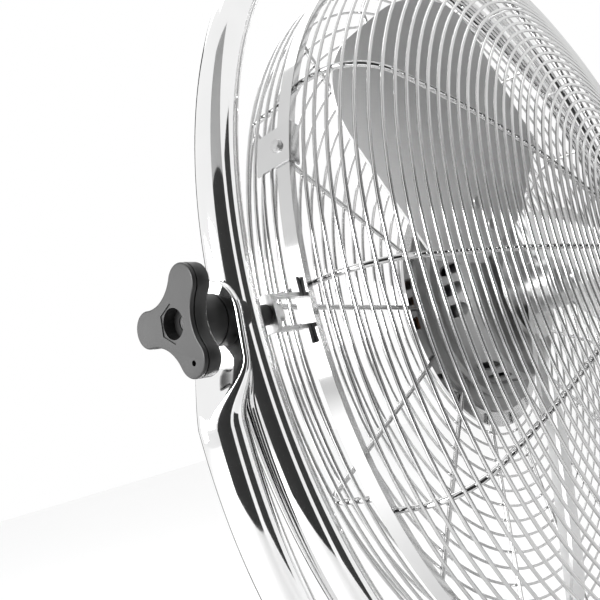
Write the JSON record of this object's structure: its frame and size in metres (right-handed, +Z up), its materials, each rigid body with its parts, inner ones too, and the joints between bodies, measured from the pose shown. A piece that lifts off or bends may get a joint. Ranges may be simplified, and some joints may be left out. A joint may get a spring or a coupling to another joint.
{
  "type": "pedestal fan",
  "caption": "Chrome wire cage fan on a tilting ring in a U yoke, on a telescopic pole with a round weighted base.",
  "frame": {"origin": "middle of the base on the floor", "axes": "+Z up along the pole, the fan blows towards -Y, the tilt line runs along X"},
  "size_m": [0.6406, 0.43, 1.2751],
  "materials": {
    "chrome_tube": "bright chrome plate on steel tube",
    "chrome_wire": "bright chrome plate on steel wire",
    "black_plastic": "satin black moulded nylon",
    "motor_paint": "grey paint on aluminium die casting",
    "blade_aluminium": "brushed sheet",
    "zinc_steel": "zinc-plated fastener",
    "lamination_steel": "stacked steel sheet",
    "copper_wire": "enamelled copper winding",
    "cast_iron": "black paint on cast iron",
    "foot_rubber": "moulded rubber",
    "badge_metal": "brushed disc with bright rim"
  },
  "bodies": {
    "base": {"base_weight": "cast_iron", "base_feet": "foot_rubber", "base_cover": "chrome_tube", "base_bolt": "zinc_steel", "base_washer": "zinc_steel", "pole_trim_ring": "chrome_tube", "pole_foot_plug": "zinc_steel", "outer_pole": "chrome_tube", "height_collar": "black_plastic"},
    "height_knob": {"height_knob": "black_plastic", "height_knob_stud": "zinc_steel"},
    "pole": {"inner_pole": "chrome_tube", "inner_pole_plug": "black_plastic", "guide_bush": "black_plastic"},
    "yoke": {"yoke_tube": "chrome_tube", "yoke_socket": "chrome_tube", "yoke_gussets": "chrome_tube"},
    "pan_knob": {"pan_knob": "black_plastic", "pan_knob_stud": "zinc_steel"},
    "head": {"ring_tube": "chrome_tube", "rim_band": "chrome_wire", "front_grille_rods": "chrome_wire", "rear_grille_rods": "chrome_wire", "front_outer_rings": "chrome_wire", "front_inner_rings": "chrome_wire", "front_rim_wire": "chrome_wire", "rear_rim_wire": "chrome_wire", "rear_grille_rings": "chrome_wire", "badge_plate": "chrome_wire", "front_badge": "badge_metal", "cage_brackets": "zinc_steel", "grille_clips": "chrome_wire", "clip_screws": "zinc_steel", "pivot_bolts": "zinc_steel", "ring_spacers": "black_plastic", "saddle_washers": "black_plastic", "motor_rear_shell": "motor_paint", "motor_front_shell": "motor_paint", "motor_plate": "chrome_wire", "motor_screws": "zinc_steel", "stator": "lamination_steel", "windings": "copper_wire", "bearings": "zinc_steel", "speed_switch": "black_plastic", "capacitor": "black_plastic", "cable_gland": "black_plastic"},
    "tilt_knob_left": {"tilt_knob_left": "black_plastic"},
    "tilt_knob_right": {"tilt_knob_right": "black_plastic"},
    "rotor": {"rotor": "lamination_steel", "shaft": "zinc_steel", "blade_1": "blade_aluminium", "blade_2": "blade_aluminium", "blade_3": "blade_aluminium", "blade_hub": "zinc_steel", "blade_rivets": "zinc_steel", "hub_nut": "zinc_steel"},
    "speed_knob": {"speed_knob": "black_plastic"}
  },
  "joints": [
    {"name": "height_slide", "type": "slide", "parent": "base", "child": "pole", "axis": [0, 0, 1], "range_m": [-0.07, 0.15]},
    {"name": "pan_swivel", "type": "hinge", "parent": "pole", "child": "yoke", "pos_m": [0, 0, 0.62], "axis": [0, 0, 1], "continuous": true},
    {"name": "head_tilt", "type": "hinge", "parent": "yoke", "child": "head", "pos_m": [0, 0.008, 0.98], "axis": [1, 0, 0], "range_deg": [-84.3, 35.7]},
    {"name": "tilt_knob_left_turn", "type": "hinge", "parent": "head", "child": "tilt_knob_left", "pos_m": [-0.31, 0.008, 0.98], "axis": [-1, 0, 0], "range_deg": [0, 540]},
    {"name": "tilt_knob_right_turn", "type": "hinge", "parent": "head", "child": "tilt_knob_right", "pos_m": [0.31, 0.008, 0.98], "axis": [1, 0, 0], "range_deg": [0, 540]},
    {"name": "blade_spin", "type": "hinge", "parent": "head", "child": "rotor", "pos_m": [0, 0.008, 0.98], "axis": [0, -0.9951, 0.0993], "continuous": true},
    {"name": "speed_knob_turn", "type": "hinge", "parent": "head", "child": "speed_knob", "pos_m": [0, 0.07428, 0.93922], "axis": [0, 0.9951, -0.0993], "range_deg": [0, 135]},
    {"name": "height_knob_turn", "type": "hinge", "parent": "base", "child": "height_knob", "pos_m": [0, 0.035, 0.5], "axis": [0, 1, 0], "range_deg": [0, 540]},
    {"name": "pan_knob_turn", "type": "hinge", "parent": "yoke", "child": "pan_knob", "pos_m": [0, 0.03, 0.623], "axis": [0, 1, 0], "range_deg": [0, 540]}
  ]
}
